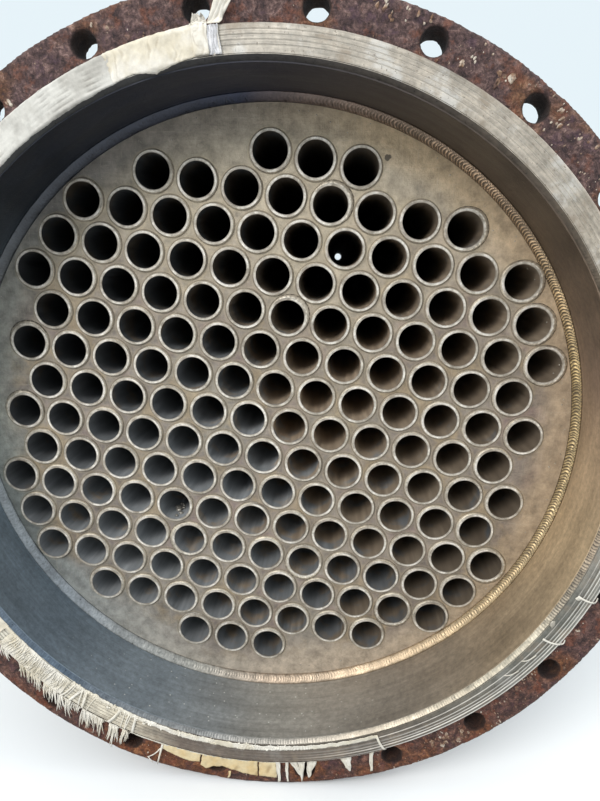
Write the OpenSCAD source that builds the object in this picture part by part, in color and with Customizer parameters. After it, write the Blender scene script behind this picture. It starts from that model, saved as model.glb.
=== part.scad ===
// Shell and tube heat exchanger with two fixed tube sheets, lying on its end flanges.
// Z is up, the ground is z = 0 and the tubes run along Y. The front end is the one at -Y.
// Both ends are built alike, from the tube sheet's outer face outwards.

/* [Tubes] */
// Length of a tube, end to end
tube_len = 3000; // [2000:50:6000]
// Outside diameter of a tube
tube_od = 42.4; // [32:0.2:43]
// Wall thickness of a tube
tube_wall = 2.6; // [1.5:0.1:4]
// Distance between tube centres on the triangular grid
tube_pitch = 48; // [46:0.5:52]
// How far a tube's end stands out of the tube sheet
tube_proud = 3; // [2.5:0.5:8]
// Width of the seal weld round a tube's end
tube_weld_leg = 1.2; // [0.5:0.1:2]
// Height of the seal weld round a tube's end
tube_weld_rise = 2; // [0.5:0.1:2.4]
// Angle by which the rows of tubes slope down to the right, seen from the front
bundle_roll = 9.7; // [-30:0.1:30]

/* [Tube sheets] */
// Thickness of a tube sheet
sheet_t = 45; // [25:1:80]
// Clearance round a tube in its hole
tube_gap = 0.2; // [0.1:0.05:0.5]
// Clearance between a tube sheet and the barrel
sheet_gap = 0.3; // [0.1:0.1:1]
// Distance between the edge of the tube field and the barrel wall
edge_gap = 10.8; // [8:0.2:20]
// Leg of the fillet weld between a tube sheet and its barrel
sheet_weld_leg = 8; // [6:0.5:16]

/* [Barrels and shell] */
// Wall thickness of the barrels and the shell
shell_wall = 8; // [5:0.5:14]
// Depth of the tube sheet behind the front of the facing ring
recess = 100; // [80:5:200]
// Length of a barrel behind the tube sheet's outer face
barrel_back = 200; // [120:10:320]
// Width of the weld beads between the courses of the shell
girth_weld_w = 14; // [8:1:24]
// Height of the weld beads between the courses of the shell
girth_weld_rise = 2; // [1:0.5:4]

/* [End flanges] */
// Width of an end flange, from the barrel to its rim
flange_width = 57; // [52:0.5:90]
// Thickness of an end flange
flange_t = 36; // [24:1:60]
// Number of bolt holes in an end flange
flange_holes = 24; // [16:4:32]
// Distance from the bolt circle of an end flange to its rim
flange_bolt_edge = 20; // [15:0.5:24]
// Diameter of a bolt hole in an end flange
flange_hole_d = 23; // [14:1:24]
// Chamfer on the rims of an end flange
flange_chamfer = 2; // [0.5:0.5:5]
// Clearance between an end flange and its barrel
flange_gap = 0.3; // [0.1:0.1:1]
// Leg of the fillet weld behind an end flange
flange_weld_leg = 9; // [4:0.5:14]

/* [Facing rings] */
// Clearance between the bolt holes and a facing ring
ring_clear = 4.5; // [1:0.5:8]
// How far a facing ring laps over the end of the barrel's wall
ring_lap = 3; // [1:0.5:4]
// Thickness of a facing ring
ring_t = 5; // [3:0.5:12]
// Number of fine gasket grooves in a facing ring
groove_count = 4; // [1:1:4]
// Distance from one gasket groove to the next
groove_pitch = 4; // [2.4:0.1:4.2]
// Width of a gasket groove
groove_w = 1.4; // [0.4:0.1:2]
// Depth of a gasket groove
groove_depth = 0.8; // [0.2:0.1:2]
// Plain margin between the ring's rim and the first groove
groove_margin = 5; // [2:0.5:6]
// Chamfer on the rim of a facing ring
ring_chamfer = 0.8; // [0.2:0.1:1.5]

/* [Nozzles] */
// Distance from the middle of the exchanger to a nozzle's sealing face
nozzle_reach = 520; // [490:5:700]
// Distance of a nozzle's axis behind the tube sheet's outer face
nozzle_back = 420; // [400:10:600]
// Outside diameter of a nozzle's neck
neck_od = 168.3; // [114.3:0.1:219.1]
// Wall thickness of a nozzle's neck
neck_wall = 7.1; // [4:0.1:12]
// Outside diameter of a nozzle flange
nozzle_flange_od = 285; // [260:1:340]
// Thickness of a nozzle flange, with its raised face
nozzle_flange_t = 24; // [18:1:40]
// Clearance between the bolt holes and the raised face of a nozzle flange
raised_face_clear = 3; // [1:0.5:6]
// Height of the raised face on a nozzle flange
raised_face_t = 3; // [1:0.5:4]
// Number of bolt holes in a nozzle flange
nozzle_holes = 8; // [4:4:12]
// Distance from the bolt circle of a nozzle flange to its rim
nozzle_bolt_edge = 22.5; // [16:0.5:30]
// Diameter of a bolt hole in a nozzle flange
nozzle_hole_d = 22; // [14:1:23]
// Distance from a nozzle's sealing face to the end of its neck
neck_setback = 6; // [3:0.5:10]
// Clearance between a nozzle flange or a pad and the neck
neck_gap = 0.3; // [0.1:0.1:1]
// Outside diameter of the pad round a nozzle
pad_od = 270; // [240:5:340]
// Thickness of the pad round a nozzle
pad_t = 8; // [4:0.5:14]
// Leg of the fillet welds on a nozzle
nozzle_weld_leg = 7; // [3:0.5:10]

/* [Hidden] */

// A cutter runs this far past what it cuts
past = 2;
round_fn = 128;
hole_fn = 32;

tube_r = tube_od / 2;
tube_bore_r = tube_r - tube_wall;

// The rows are numbered from the top, and row_mid passes through the middle.
// field_ratio is the radius of the tube field over the pitch.
row_count = 15;
row_mid = (row_count + 1) / 2;
row_rise = tube_pitch * sqrt(3) / 2;
field_ratio = 6.625;
field_r = field_ratio * tube_pitch;
sites_each_way = ceil(field_ratio);

// Radii of the round parts, from the tube field outwards
shell_ir = field_r + tube_r + edge_gap;
shell_or = shell_ir + shell_wall;
ring_ir = shell_or - ring_lap;
flange_or = shell_or + flange_width;
flange_bolt_r = flange_or - flange_bolt_edge;
ring_or = flange_bolt_r - flange_hole_d / 2 - ring_clear;
axis_z = flange_or;

// Along the axis, measured outwards from the middle of the exchanger
sheet_face = tube_len / 2 - tube_proud;
barrel_end = sheet_face - barrel_back;
course_len = 2 * barrel_end / 3;
nozzle_at = sheet_face - nozzle_back;

// Along the axis, measured outwards from the tube sheet's outer face
flange_face = recess - ring_t;
flange_back = flange_face - flange_t;

// Sites on the grid that tie rods hold from behind, so that no tube ends there.
// Each is [rows, pitches] from the middle, and has its like above, below, left and right.
rod_sites = [[0, 6.5], [7, 2]];

neck_or = neck_od / 2;
neck_ir = neck_or - neck_wall;
neck_end = nozzle_reach - neck_setback;
nozzle_flange_back = nozzle_reach - nozzle_flange_t;
nozzle_flange_or = nozzle_flange_od / 2;
nozzle_bolt_r = nozzle_flange_or - nozzle_bolt_edge;
raised_face_r = nozzle_bolt_r - nozzle_hole_d / 2 - raised_face_clear;
pad_or = shell_or + pad_t;

// A weld's crown is drawn with this many straight steps
crown_steps = 5;

// Local frame with z along the exchanger's axis towards the front, x right and y up
module along_axis() {
    translate([0, 0, axis_z])
        rotate([90, 0, 0])
            children();
}

// Local frame with z = 0 on a tube sheet's outer face and z pointing outwards
module at_front() {
    along_axis()
        translate([0, 0, sheet_face])
            children();
}

module at_rear() {
    along_axis()
        mirror([0, 0, 1])
            translate([0, 0, sheet_face])
                children();
}

// Local frame with z along a nozzle's axis, outwards from the exchanger's axis.
// side is 1 for the inlet, at +X near the rear, and -1 for the outlet.
module at_nozzle(side) {
    translate([0, side * nozzle_at, axis_z])
        rotate([0, side * 90, 0])
            children();
}

module disc(r, z0, z1, fn = round_fn) {
    translate([0, 0, z0])
        cylinder(r = r, h = z1 - z0, $fn = fn);
}

module pipe(r_in, r_out, z0, z1, fn = round_fn) {
    difference() {
        disc(r_out, z0, z1, fn);
        disc(r_in, z0 - past, z1 + past, fn);
    }
}

// Holes on a bolt circle that straddle both centre lines
module bolt_circle(r, count, d, z0, z1) {
    for (i = [0 : count - 1])
        rotate((i + 0.5) * 360 / count)
            translate([r, 0, 0])
                disc(d / 2, z0 - past, z1 + past, hole_fn);
}

// Fillet weld in the corner at radius r and height z. It reaches dr along the radius and
// dz along the axis, and its face is crowned.
module fillet_weld(r, z, dr, dz) {
    crown = min(abs(dr), abs(dz)) / 6;
    face = [
        for (i = [0 : crown_steps])
            let (t = i / crown_steps, bulge = crown * sin(180 * t))
            [r + dr * (1 - t) + sign(dr) * bulge, z + dz * t + sign(dz) * bulge]
    ];
    rotate_extrude($fn = round_fn)
        polygon(concat([[r, z]], face));
}

// Low crowned bead round the shell, centred at height z
module girth_bead(z) {
    face = [
        for (i = [0 : crown_steps])
            let (t = i / crown_steps)
            [shell_or + girth_weld_rise * sin(180 * t), z + girth_weld_w * (t - 0.5)]
    ];
    rotate_extrude($fn = round_fn)
        polygon(face);
}

// Grid sites of a row, counted from the middle in pitches, that carry a tube.
// Odd rows from the middle have a site on the centre line, even ones straddle it.
function is_rod_site(k, x) = len([for (site = rod_sites) if (site == [abs(k), abs(x)]) site]) > 0;

function row_sites(k) = [
    for (i = [-sites_each_way : sites_each_way])
        let (x = i + (abs(k) % 2 == 1 ? 0 : 0.5))
        if (norm([x * tube_pitch, k * row_rise]) <= field_r && !is_rod_site(k, x)) x
];

module at_sites(k) {
    rotate(-bundle_roll)
        for (x = row_sites(k))
            translate([x * tube_pitch, k * row_rise, 0])
                children();
}

// A tube with the seal weld's ring round it at each end
module tube() {
    end = tube_len / 2;
    half = [
        [tube_r, sheet_face],
        [tube_r + tube_weld_leg, sheet_face],
        [tube_r, sheet_face + tube_weld_rise],
        [tube_r, end],
        [tube_bore_r, end]
    ];
    other_half = [for (i = [len(half) - 1 : -1 : 0]) [half[i][0], -half[i][1]]];
    rotate_extrude($fn = hole_fn)
        polygon(concat(half, other_half));
}

module tube_row(n) {
    color("lightgray")
        along_axis()
            at_sites(row_mid - n)
                tube();
}

module tube_sheet() {
    color("tan")
        difference() {
            disc(shell_ir - sheet_gap, -sheet_t, 0);
            for (k = [1 - row_mid : row_mid - 1])
                at_sites(k)
                    disc(tube_r + tube_gap, -sheet_t - past, past, hole_fn);
        }
}

module sheet_weld() {
    color("goldenrod")
        fillet_weld(shell_ir, 0, -sheet_weld_leg, sheet_weld_leg);
}

module barrel() {
    color("dimgray")
        pipe(shell_ir, shell_or, -barrel_back, flange_face);
}

module end_flange() {
    bore_r = shell_or + flange_gap;
    profile = [
        [bore_r, flange_back],
        [flange_or - flange_chamfer, flange_back],
        [flange_or, flange_back + flange_chamfer],
        [flange_or, flange_face - flange_chamfer],
        [flange_or - flange_chamfer, flange_face],
        [bore_r, flange_face]
    ];
    color("saddlebrown")
        difference() {
            rotate_extrude($fn = round_fn)
                polygon(profile);
            bolt_circle(flange_bolt_r, flange_holes, flange_hole_d, flange_back, flange_face);
        }
}

module flange_weld() {
    color("sienna")
        fillet_weld(shell_or, flange_back, flange_weld_leg, -flange_weld_leg);
}

// Ring of better steel on the flange's face, with fine grooves that grip the gasket
module facing_ring() {
    first_groove_r = ring_or - groove_margin;
    grooves = [
        for (i = [0 : groove_count - 1], step = [1, 0, -1])
            [
                first_groove_r - i * groove_pitch + step * groove_w / 2,
                recess - (step == 0 ? groove_depth : 0)
            ]
    ];
    profile = concat(
        [
            [ring_ir, flange_face],
            [ring_or, flange_face],
            [ring_or, recess - ring_chamfer],
            [ring_or - ring_chamfer, recess]
        ],
        grooves,
        [[ring_ir, recess]]
    );
    color("wheat")
        rotate_extrude($fn = round_fn)
            polygon(profile);
}

// Seal weld between the ring's bore and the end of the barrel's wall
module rim_weld() {
    color("silver")
        fillet_weld(ring_ir, flange_face, shell_ir - ring_ir, ring_t);
}

module shell_course(z0, z1) {
    color("slategray")
        along_axis()
            pipe(shell_ir, shell_or, z0, z1);
}

module nozzle_hole(side) {
    at_nozzle(side)
        disc(neck_or, 0, shell_or + past);
}

module shell_front_course() {
    color("slategray")
        difference() {
            shell_course(barrel_end - course_len, barrel_end);
            nozzle_hole(-1);
        }
}

module shell_middle_course() {
    shell_course(-course_len / 2, course_len / 2);
}

module shell_rear_course() {
    color("slategray")
        difference() {
            shell_course(-barrel_end, course_len - barrel_end);
            nozzle_hole(1);
        }
}

module girth_welds() {
    color("gray")
        along_axis()
            for (i = [0 : 3])
                girth_bead(barrel_end - i * course_len);
}

// Cylinder about the exchanger's axis, drawn in a nozzle's frame
module across(r) {
    half_w = pad_od;
    rotate([90, 0, 0])
        disc(r, -half_w, half_w);
}

// Set into the hole in the shell, and flush with the shell's bore
module nozzle_neck(side) {
    color("slategray")
        at_nozzle(side)
            difference() {
                disc(neck_or, shell_ir / 2, neck_end);
                disc(neck_ir, 0, nozzle_reach + past);
                across(shell_ir);
            }
}

module nozzle_flange(side) {
    bore_r = neck_or + neck_gap;
    face_foot = nozzle_reach - raised_face_t;
    color("dimgray")
        at_nozzle(side)
            difference() {
                union() {
                    disc(nozzle_flange_or, nozzle_flange_back, face_foot);
                    disc(raised_face_r, nozzle_flange_back, nozzle_reach);
                }
                disc(bore_r, nozzle_flange_back - past, nozzle_reach + past);
                bolt_circle(nozzle_bolt_r, nozzle_holes, nozzle_hole_d, nozzle_flange_back, nozzle_reach);
            }
}

module nozzle_pad(side) {
    color("slategray")
        at_nozzle(side)
            difference() {
                intersection() {
                    disc(pad_od / 2, shell_ir / 2, nozzle_reach);
                    across(pad_or);
                }
                across(shell_or);
                disc(neck_or + neck_gap, 0, nozzle_reach);
            }
}

// Beads between the pad and the neck, behind the flange and in the flange's bore
module nozzle_welds(side) {
    color("gray")
        at_nozzle(side) {
            difference() {
                intersection() {
                    disc(neck_or + nozzle_weld_leg, shell_ir / 2, nozzle_reach);
                    across(pad_or + nozzle_weld_leg);
                }
                across(pad_or);
                disc(neck_or, 0, nozzle_reach);
            }
            fillet_weld(neck_or, nozzle_flange_back, nozzle_weld_leg, -nozzle_weld_leg);
            fillet_weld(neck_or + neck_gap, neck_end, -neck_gap - neck_wall / 2, neck_setback / 2);
        }
}

at_front() end_flange();  // front_flange
at_front() facing_ring();  // front_facing_ring
at_front() rim_weld();  // front_rim_weld
at_front() barrel();  // front_barrel
at_front() tube_sheet();  // front_tube_sheet
at_front() sheet_weld();  // front_sheet_weld
at_front() flange_weld();  // front_flange_weld

at_rear() end_flange();  // rear_flange
at_rear() facing_ring();  // rear_facing_ring
at_rear() rim_weld();  // rear_rim_weld
at_rear() barrel();  // rear_barrel
at_rear() tube_sheet();  // rear_tube_sheet
at_rear() sheet_weld();  // rear_sheet_weld
at_rear() flange_weld();  // rear_flange_weld

tube_row(1);  // tube_row_01
tube_row(2);  // tube_row_02
tube_row(3);  // tube_row_03
tube_row(4);  // tube_row_04
tube_row(5);  // tube_row_05
tube_row(6);  // tube_row_06
tube_row(7);  // tube_row_07
tube_row(8);  // tube_row_08
tube_row(9);  // tube_row_09
tube_row(10);  // tube_row_10
tube_row(11);  // tube_row_11
tube_row(12);  // tube_row_12
tube_row(13);  // tube_row_13
tube_row(14);  // tube_row_14
tube_row(15);  // tube_row_15

shell_front_course();
shell_middle_course();
shell_rear_course();
girth_welds();

nozzle_neck(1);  // inlet_neck
nozzle_flange(1);  // inlet_flange
nozzle_pad(1);  // inlet_pad
nozzle_welds(1);  // inlet_welds
nozzle_neck(-1);  // outlet_neck
nozzle_flange(-1);  // outlet_flange
nozzle_pad(-1);  // outlet_pad
nozzle_welds(-1);  // outlet_welds
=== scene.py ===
"""Looks of the shell and tube heat exchanger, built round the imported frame."""
import math
import random

import bmesh
import bpy
import numpy as np
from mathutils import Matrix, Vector, noise


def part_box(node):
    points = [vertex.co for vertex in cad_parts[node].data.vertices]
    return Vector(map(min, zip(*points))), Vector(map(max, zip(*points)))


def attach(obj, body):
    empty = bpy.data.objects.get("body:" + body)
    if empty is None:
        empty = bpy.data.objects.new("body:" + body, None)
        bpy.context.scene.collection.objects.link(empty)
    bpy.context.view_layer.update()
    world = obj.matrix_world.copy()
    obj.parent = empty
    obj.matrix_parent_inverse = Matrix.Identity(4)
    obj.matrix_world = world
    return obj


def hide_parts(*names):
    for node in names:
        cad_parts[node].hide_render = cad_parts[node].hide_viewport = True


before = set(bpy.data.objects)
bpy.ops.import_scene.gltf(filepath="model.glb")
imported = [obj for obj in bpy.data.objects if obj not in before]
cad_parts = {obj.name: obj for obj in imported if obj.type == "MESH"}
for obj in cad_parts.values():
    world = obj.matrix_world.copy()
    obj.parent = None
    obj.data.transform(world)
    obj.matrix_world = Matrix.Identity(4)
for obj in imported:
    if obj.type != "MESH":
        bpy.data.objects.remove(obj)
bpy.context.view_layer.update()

MM = 0.001
FULL_TURN = 2 * math.pi


def radius_of(node):
    """Half of the node's size along X."""
    low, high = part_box(node)
    return (high.x - low.x) / 2


def front_of(node):
    """How far the node goes from the exchanger's middle towards the front."""
    return -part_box(node)[0].y


# Sizes read from the frame. Both ends are alike, and faces are given by their distance from the middle
AXIS_Z = radius_of("front_flange")
FLANGE_R = radius_of("front_flange")
RING_R = radius_of("front_facing_ring")
SHELL_R = radius_of("shell_middle_course")
TUBE_END = front_of("tube_row_08")
SHEET_FACE = front_of("front_tube_sheet")
SHEET_WELD_LEG = front_of("front_sheet_weld") - SHEET_FACE
RING_FACE = front_of("front_facing_ring")
FLANGE_FACE = front_of("front_flange")
FLANGE_BACK = -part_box("front_flange")[1].y
BARREL_BACK = -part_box("front_barrel")[1].y
COURSE_LOW, COURSE_HIGH = (corner.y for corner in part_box("shell_middle_course"))

# Sizes of the model that no box shows
WALL = 8 * MM
BORE_R = SHELL_R - WALL
RING_BORE_R = SHELL_R - 3 * MM
RING_THICK = RING_FACE - FLANGE_FACE
TUBE_R = 21.2 * MM
TUBE_BORE_R = 18.6 * MM
PITCH = 48 * MM
ROW_RISE = PITCH * math.sqrt(3) / 2
ROLL = math.radians(9.7)
FIELD_R = 318 * MM
MIDDLE_ROD_X = 6.5
OUTER_ROD_ROW = 7
OUTER_ROD_X = 2
HOLES = 24
HOLE_CIRCLE_R = 395 * MM
HOLE_R = 11.5 * MM
SECTOR = FULL_TURN / HOLES
GROOVE_MARGIN = 5 * MM
GROOVE_PITCH = 4 * MM
PAD_T = 8 * MM
TAPE_T = 0.25 * MM
FIBRE_T = 0.3 * MM

# Ripples round a tube's heavy bead
HEAVY_RIPPLES = 26

# The tape's mean radius in millimetres, and the steps of its meshes, in degrees and in pieces
TAPE_R = 368
TAPE_STEP = 0.16
PATCH_STEPS = 14

# Places seen in the photo: (right, up) from the axis in metres, and chips as (degrees, radius, size) in mm
SLUDGE = (-0.115, -0.104)
HEAVY_BEADS = ((0.272, 0.167), (0.279, 0.121), (0.308, 0.074), (-0.278, 0.087), (-0.289, 0.008))
BLOT = (0.1237, 0.2886)
CHIPS = ((125.2, 389, 3.4), (110.8, 405, 1.8), (109.1, 399, 1.5), (108.6, 399, 1.5), (104.6, 384, 1.6),
         (74.3, 408, 2), (73.5, 398, 2.4), (63.1, 389, 3.4), (62.3, 397, 2.6), (58.4, 399, 4.4),
         (56.8, 400, 4.8), (58.3, 390, 5), (46.1, 402, 1.8), (41, 404, 2), (36.5, 398, 2.6),
         (-29.6, 388, 2.4), (-36, 404, 2.6))

# Patches of loose scale, each (first and last degree, inner and outer radius in mm, flakes)
SCALE_PATCHES = ((48.6, 51.2, 394, 411, 9), (-60.5, -54, 390, 406, 40), (-44, -36, 383, 389, 20),
                 (68, 76, 403, 411, 12), (38, 44, 405, 411, 7))

# Radii of the painted highlight lines on the ring, and how marked a weld's ripples are, as (degrees,
# strengths)
HIGHLIGHT_RADII = (377.4 * MM, 374.2 * MM, 371 * MM, 367.4 * MM, 362 * MM)
SHEET_WELD_LIVELY = ((-180, -100, -60, -24, 30, 68, 90, 180), (0.4, 0.3, 0.45, 1.1, 1.4, 1.3, 0.35, 0.4))
RIM_WELD_LIVELY = ((-180, -110, -60, -34, -28, 10, 40, 150, 180),
                   (0.5, 0.4, 0.25, 0.35, 1, 0.9, 0.15, 0.15, 0.5))


def tube_centres():
    """(x, z) of every tube, by the same grid as the model's rows."""
    centres = []
    for row in range(-OUTER_ROD_ROW, OUTER_ROD_ROW + 1):
        for step in range(-8, 8):
            x = step + (0 if row % 2 else 0.5)
            along, up = x * PITCH, row * ROW_RISE
            rod = (abs(row), abs(x)) in ((0, MIDDLE_ROD_X), (OUTER_ROD_ROW, OUTER_ROD_X))
            if math.hypot(along, up) <= FIELD_R and not rod:
                centres.append((along * math.cos(ROLL) + up * math.sin(ROLL),
                                AXIS_Z - along * math.sin(ROLL) + up * math.cos(ROLL)))
    return centres


def on_axis(radius, angle, y):
    """The point at that radius and angle round the exchanger's axis. The angle goes from +X upwards."""
    return Vector((radius * math.cos(angle), y, AXIS_Z + radius * math.sin(angle)))


def wander(seed, *at):
    """Smooth noise from -1 to 1 at a place given by up to three numbers."""
    x, y, z = (list(at) + [0, 0])[:3]
    return noise.noise(Vector((x + 17.3 * seed, y - 9.1 * seed, z + 5.7 * seed)))


def put(name, data):
    """Adds an object to the scene."""
    thing = bpy.data.objects.new(name, data)
    bpy.context.collection.objects.link(thing)
    return thing


# Materials

# Numbers of a mix node's colour sockets: the two that go in, and the one that comes out
MIX_A, MIX_B, MIX_RESULT = 6, 7, 2


def math_operator(operation):
    """An operator of Field that adds a math node."""
    return lambda field, *others: field.graph.math(operation, field, *others)


class Field:
    """A node's output, with arithmetic that adds math nodes."""

    def __init__(self, graph, socket):
        self.graph = graph
        self.socket = socket

    def __rsub__(self, other):
        return self.graph.math("SUBTRACT", other, self)

    __add__ = math_operator("ADD")
    __sub__ = math_operator("SUBTRACT")
    __mul__ = math_operator("MULTIPLY")
    __truediv__ = math_operator("DIVIDE")
    __gt__ = math_operator("GREATER_THAN")
    __lt__ = math_operator("LESS_THAN")
    __abs__ = math_operator("ABSOLUTE")


class Graph:
    """The nodes of the world or of a material. Its methods add nodes and return their outputs."""

    def __init__(self, tree):
        self.tree = tree

    def feed(self, socket, value):
        if isinstance(value, Field):
            self.tree.links.new(value.socket, socket)
        else:
            socket.default_value = (*value, 1) if socket.type == "RGBA" else value

    def node(self, kind, inputs=(), output=0, **settings):
        """Adds a node with those settings. inputs pairs the name or number of an input with its value."""
        node = self.tree.nodes.new("ShaderNode" + kind)
        for setting, value in settings.items():
            setattr(node, setting, value)
        for name, value in inputs:
            self.feed(node.inputs[name], value)
        return Field(self, node.outputs[output])

    def math(self, operation, *values):
        return self.node("Math", enumerate(values), operation=operation)

    def split(self, vector):
        """The vector's x, y and z."""
        first = self.node("SeparateXYZ", [(0, vector)])
        return [Field(self, socket) for socket in first.socket.node.outputs]

    def span(self, value, low, high, to_low=0, to_high=1):
        """value from low to high taken to to_low to to_high, and no further."""
        return self.node("MapRange", (("Value", value), ("From Min", low), ("From Max", high),
                                      ("To Min", to_low), ("To Max", to_high)))

    def mix(self, share, a, b, blend="MIX"):
        """Colour b mixed into colour a."""
        inputs = ((0, share), (MIX_A, a), (MIX_B, b))
        return self.node("Mix", inputs, MIX_RESULT, data_type="RGBA", blend_type=blend)

    def seen_plainly(self):
        """1 for rays from the camera or off gloss or glass, else 0."""
        camera, gloss, glass = (self.node("LightPath", output=f"Is {ray} Ray")
                                for ray in ("Camera", "Glossy", "Transmission"))
        return self.math("MAXIMUM", self.math("MAXIMUM", camera, gloss), glass)


class Skin(Graph):
    """A material's nodes, with the place on the object and its polar coordinates round the axis.

    right and up are the direction from the exchanger's axis, as two numbers from -1 to 1.
    """

    def __init__(self, name, metallic=0):
        self.material = bpy.data.materials.new(name)
        self.material.use_nodes = True
        super().__init__(self.material.node_tree)
        self.use("Metallic", metallic)
        self.at = self.node("TexCoord", output="Object")
        self.x, self.y, self.z = self.split(self.at)
        up = self.z - AXIS_Z
        self.radius = self.length(self.x, up)
        self.right, self.up = self.x / self.radius, up / self.radius

    def use(self, name, value):
        self.feed(self.tree.nodes["Principled BSDF"].inputs[name], value)

    def finished(self, colour, roughness, *bumps):
        """The material with that colour, roughness and bumps, each (height, depth in mm)."""
        self.use("Base Color", colour)
        self.use("Roughness", roughness)
        under = ()
        for height, depth in bumps:
            normal = self.node("Bump", (("Height", height), ("Distance", depth * MM), *under))
            under = [("Normal", normal)]
            self.use("Normal", normal)
        return self.material

    def scaled(self, x, y, z):
        return self.node("VectorMath", ((0, self.at), (1, (x, y, z))), operation="MULTIPLY")

    def joined(self, x, y, z):
        return self.node("CombineXYZ", ((0, x), (1, y), (2, z)))

    def lathe(self, along, across):
        """Coordinates that change slowly round the axis, and quickly along the radius and the axis."""
        return self.joined(self.right * along, self.up * along, (self.radius + self.y) * across)

    def noise(self, scale, detail=4, rough=0.55, distortion=0, at=None):
        return self.node("TexNoise", (("Vector", at or self.at), ("Scale", scale), ("Detail", detail),
                                      ("Roughness", rough), ("Distortion", distortion)))

    def cells(self, scale):
        """Distance to the nearest of many random points."""
        return self.node("TexVoronoi", (("Vector", self.at), ("Scale", scale)))

    def relief(self):
        """How high a vertex stands on its piece, from 0 in the valleys to 1; on the tube beads, a painted
        shade level. Weld and tape materials paint shade and highlights by it.
        """
        return self.node("Attribute", output="Fac", attribute_name="relief")

    def length(self, a, b):
        return self.math("SQRT", a * a + b * b)

    def ramp(self, value, *stops):
        """Colour along stops, each (position, red, green, blue)."""
        colour = self.node("ValToRGB", [(0, value)])
        elements = colour.socket.node.color_ramp.elements
        while len(elements) < len(stops):
            elements.new(0.5)
        for element, (position, *tint) in zip(elements, stops):
            element.position = position
            element.color = (*tint, 1)
        return colour

    def round_ramp(self, *stops):
        """Colour by direction: 0 is left, then 0.25 the bottom, 0.5 right, 0.75 the top and 1 left again."""
        turn = self.math("ARCTAN2", self.up, self.right) / FULL_TURN + 0.5
        return self.ramp((self.noise(6, 3) - 0.5) * 0.05 + turn, *stops)

    def shaded(self, colour, *shades):
        """The colour times low to high for each (shade, low, high), as the shade goes from 0.3 to 0.7."""
        for shade, low, high in shades:
            colour = self.mix(1, colour, self.span(shade, 0.3, 0.7, low, high), "MULTIPLY")
        return colour

    def layered(self, colour, *layers):
        """The colour under layers, each (share, colour)."""
        for share, over in layers:
            colour = self.mix(share, colour, over)
        return colour

    def from_nearest_tube(self):
        """(distance to the nearest tube's axis, 1 where that grid site has a tube) across the bundle."""
        up = self.z - AXIS_Z
        step = (self.x * math.cos(ROLL) - up * math.sin(ROLL)) / PITCH
        row = (self.x * math.sin(ROLL) + up * math.cos(ROLL)) / ROW_RISE
        sites = []
        for row_shift, step_shift in ((1, 0), (0, 0.5)):
            near_row = self.math("ROUND", (row - row_shift) / 2) * 2 + row_shift
            near_step = self.math("ROUND", step - step_shift) + step_shift
            away = self.length((step - near_step) * PITCH, (row - near_row) * ROW_RISE)
            sites.append((away, self.has_tube(near_step, near_row)))
        (first, first_tube), (second, second_tube) = sites
        nearer = self.math("LESS_THAN", second, first)
        return self.math("MINIMUM", first, second), nearer * (second_tube - first_tube) + first_tube

    def has_tube(self, step, row):
        """1 at a grid site that carries a tube: inside the field, and not held by a tie rod."""
        inside = self.length(step * PITCH, row * ROW_RISE) < FIELD_R + 0.5 * MM
        middle_rod = abs(step) > MIDDLE_ROD_X - 0.2
        outer_rod = (abs(row) > OUTER_ROD_ROW - 0.5) * (abs(step) > OUTER_ROD_X - 0.5)
        return inside * (1 - self.math("MAXIMUM", middle_rod, outer_rod))

    def from_nearest_hole(self):
        """Distance to the axis of the nearest of a flange's bolt holes, which straddle the centre lines."""
        turn = self.math("ARCTAN2", self.up, self.right) / SECTOR
        along = (turn - (self.math("FLOOR", turn) + 0.5)) * (SECTOR * HOLE_CIRCLE_R)
        return self.length(along, self.radius - HOLE_CIRCLE_R)


def rust_material():
    """Dark purple-brown rust with a grain of red, tan and pale specks, orange round the bolt holes, and
    painted shade in them.
    """
    g = Skin("rust")
    mottle = g.noise(120, 7, 0.74, 0.6)
    grain = g.noise(430, 6, 0.75)
    tint = g.noise(55, 5, 0.68)
    away = g.from_nearest_hole()
    brown = g.ramp(mottle, (0.34, 0.022, 0.013, 0.014), (0.46, 0.066, 0.037, 0.036),
                   (0.55, 0.125, 0.074, 0.068), (0.68, 0.31, 0.2, 0.175))
    orange = g.ramp(mottle, (0.34, 0.045, 0.02, 0.012), (0.46, 0.115, 0.05, 0.025),
                    (0.56, 0.21, 0.098, 0.046), (0.7, 0.43, 0.25, 0.135))
    warm = g.noise(13, 5, 0.6, 0.4) + g.span(g.z, 0.3, 0.02, 0, 0.05)
    warm = warm + g.span(away, 30 * MM, 13 * MM, 0, 0.12)
    colour = g.layered(
        brown, (g.span(warm, 0.55, 0.68), orange),
        (g.span(tint, 0.54, 0.64, 0, 0.6), (0.2, 0.07, 0.038)),
        (g.span(tint, 0.44, 0.36, 0, 0.45), (0.085, 0.045, 0.07)))
    colour = g.shaded(colour, (grain, 0.3, 1.75))
    colour = g.mix(g.span(g.z, 0.42, 0.12), colour, (0.95, 0.74, 0.6), "MULTIPLY")
    pale = g.span(g.cells(330), 0.16, 0.1) * g.span(mottle, 0.54, 0.6)
    # Painted shade: the walls in and just round the bolt holes are painted near black.
    colour = g.layered(
        colour, (pale * 0.7, (0.46, 0.34, 0.27)),
        (g.span(away, HOLE_R + 1.4 * MM, HOLE_R + 0.2 * MM, 0, 0.8), (0.014, 0.008, 0.007)))
    return g.finished(colour, g.span(grain, 0.3, 0.7, 0.97, 0.72), (mottle, 2.2), (grain, 1.4))


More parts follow.
